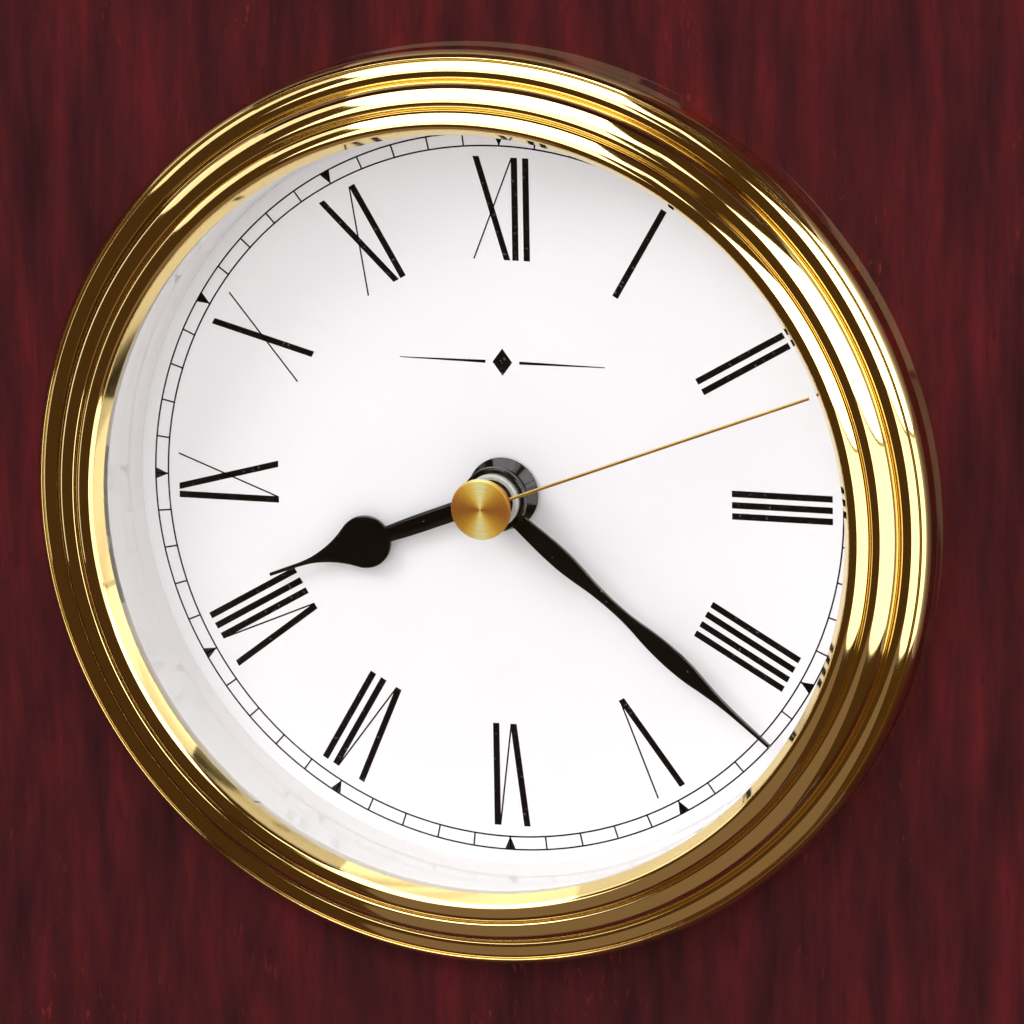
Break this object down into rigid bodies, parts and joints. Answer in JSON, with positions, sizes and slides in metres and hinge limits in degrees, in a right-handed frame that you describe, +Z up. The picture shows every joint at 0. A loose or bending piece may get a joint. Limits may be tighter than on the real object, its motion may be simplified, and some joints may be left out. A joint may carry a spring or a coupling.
{
  "type": "carriage clock",
  "caption": "Wooden carriage clock: round brass bezel, white dial with Roman numerals and three hands, quartz movement, rear door and a folding brass handle.",
  "frame": {"origin": "middle of the footprint, at the underside of the feet", "axes": "+Z up, the dial faces -Y, +X is to the right of someone looking at the dial"},
  "size_m": [0.156, 0.096, 0.242],
  "materials": {
    "rosewood": "gloss lacquer",
    "softwood": "raw",
    "brass": "polished",
    "zinc_steel": "zinc plated",
    "felt": "felt",
    "lens_glass": "clear",
    "flange_white": "gloss",
    "dial_white": "satin",
    "black_plastic": "matt",
    "seal_rubber": "matt",
    "black_lacquer": "gloss",
    "nickel": "plated",
    "gilt": "gilt",
    "wheel_plastic": "moulded",
    "motor_iron": "bright",
    "copper": "enamelled wire",
    "board_green": "solder mask",
    "battery_jacket": "printed jacket, plain",
    "catch_plastic": "moulded"
  },
  "bodies": {
    "case": {"plinth": "rosewood", "cornice": "rosewood", "top_cap": "rosewood", "front_panel": "rosewood", "side_panel_left": "rosewood", "side_panel_right": "rosewood", "rear_stile_left": "rosewood", "rear_stile_right": "rosewood", "rear_rail_top": "rosewood", "rear_rail_bottom": "rosewood", "glue_blocks": "softwood", "bezel": "brass", "feet": "brass", "handle_posts": "brass", "pivot_screws": "brass", "hinge_frame_leaves": "brass", "hinge_pins": "brass", "hinge_frame_screws": "brass", "post_nuts": "zinc_steel", "post_washers": "zinc_steel", "movement_screws": "zinc_steel", "battery_contacts": "zinc_steel", "foot_felts": "felt", "lens": "lens_glass", "flange_ring": "flange_white", "dial_plate": "dial_white", "insert_cup": "black_plastic", "movement_front_shell": "black_plastic", "movement_back_shell": "black_plastic", "grip_ring": "seal_rubber", "quartz_crystal": "nickel", "middle_plate": "wheel_plastic", "coil_bobbin": "wheel_plastic", "stator": "motor_iron", "coil_winding": "copper", "circuit_board": "board_green", "magnet_catch": "catch_plastic"},
    "handle": {"handle_bail": "brass", "handle_grip": "brass"},
    "door": {"rear_door": "rosewood", "door_knob": "brass", "hinge_door_leaves": "brass", "hinge_door_screws": "brass", "strike_plate": "zinc_steel"},
    "battery": {"battery": "battery_jacket"},
    "seconds": {"seconds_wheel": "wheel_plastic", "second_hand": "gilt", "second_hand_cap": "gilt"},
    "intermediate": {"intermediate_wheel": "wheel_plastic"},
    "rotor": {"rotor": "motor_iron"},
    "third": {"third_wheel": "wheel_plastic"},
    "centre": {"centre_wheel": "wheel_plastic"},
    "minutes": {"cannon_pinion": "wheel_plastic", "minute_hand": "black_lacquer", "hand_nut": "nickel"},
    "motion_work": {"minute_wheel": "wheel_plastic"},
    "hours": {"hour_wheel": "wheel_plastic", "hour_hand": "black_lacquer"},
    "setting": {"setting_knob": "black_plastic"}
  },
  "joints": [
    {"name": "handle_fold", "type": "hinge", "parent": "case", "child": "handle", "pos_m": [0, 0, 0.204], "axis": [1, 0, 0], "range_deg": [-98, 98]},
    {"name": "door_swing", "type": "hinge", "parent": "case", "child": "door", "pos_m": [0.04975, 0.03975, 0.098], "axis": [0, 0, -1], "range_deg": [0, 110]},
    {"name": "battery_out", "type": "slide", "parent": "case", "child": "battery", "axis": [0, 1, 0], "range_m": [0, 0.028]},
    {"name": "second_spin", "type": "hinge", "parent": "case", "child": "seconds", "pos_m": [0, -0.0325, 0.098], "axis": [0, 1, 0], "continuous": true},
    {"name": "intermediate_spin", "type": "hinge", "parent": "case", "child": "intermediate", "pos_m": [0, -0.0325, 0.1064], "axis": [0, 1, 0], "continuous": true},
    {"name": "rotor_spin", "type": "hinge", "parent": "case", "child": "rotor", "pos_m": [0.00789, -0.0325, 0.10927], "axis": [0, 1, 0], "continuous": true},
    {"name": "third_spin", "type": "hinge", "parent": "case", "child": "third", "pos_m": [-0.0102, -0.0325, 0.098], "axis": [0, 1, 0], "continuous": true},
    {"name": "centre_spin", "type": "hinge", "parent": "case", "child": "centre", "pos_m": [0, -0.0325, 0.098], "axis": [0, 1, 0], "continuous": true},
    {"name": "minute_spin", "type": "hinge", "parent": "case", "child": "minutes", "pos_m": [0, -0.0325, 0.098], "axis": [0, 1, 0], "continuous": true},
    {"name": "motion_work_spin", "type": "hinge", "parent": "case", "child": "motion_work", "pos_m": [0.0096, -0.0325, 0.098], "axis": [0, 1, 0], "continuous": true},
    {"name": "hour_spin", "type": "hinge", "parent": "case", "child": "hours", "pos_m": [0, -0.0325, 0.098], "axis": [0, 1, 0], "continuous": true},
    {"name": "setting_spin", "type": "hinge", "parent": "case", "child": "setting", "pos_m": [0.02, -0.0325, 0.098], "axis": [0, 1, 0], "continuous": true}
  ],
  "couplings": [
    {"joint": "intermediate_spin", "follows": "second_spin", "ratio": -5},
    {"joint": "rotor_spin", "follows": "second_spin", "ratio": 30},
    {"joint": "third_spin", "follows": "second_spin", "ratio": -0.13333},
    {"joint": "centre_spin", "follows": "second_spin", "ratio": 0.016667},
    {"joint": "motion_work_spin", "follows": "minute_spin", "ratio": -0.33333},
    {"joint": "hour_spin", "follows": "minute_spin", "ratio": 0.083333},
    {"joint": "setting_spin", "follows": "minute_spin", "ratio": 0.75}
  ]
}
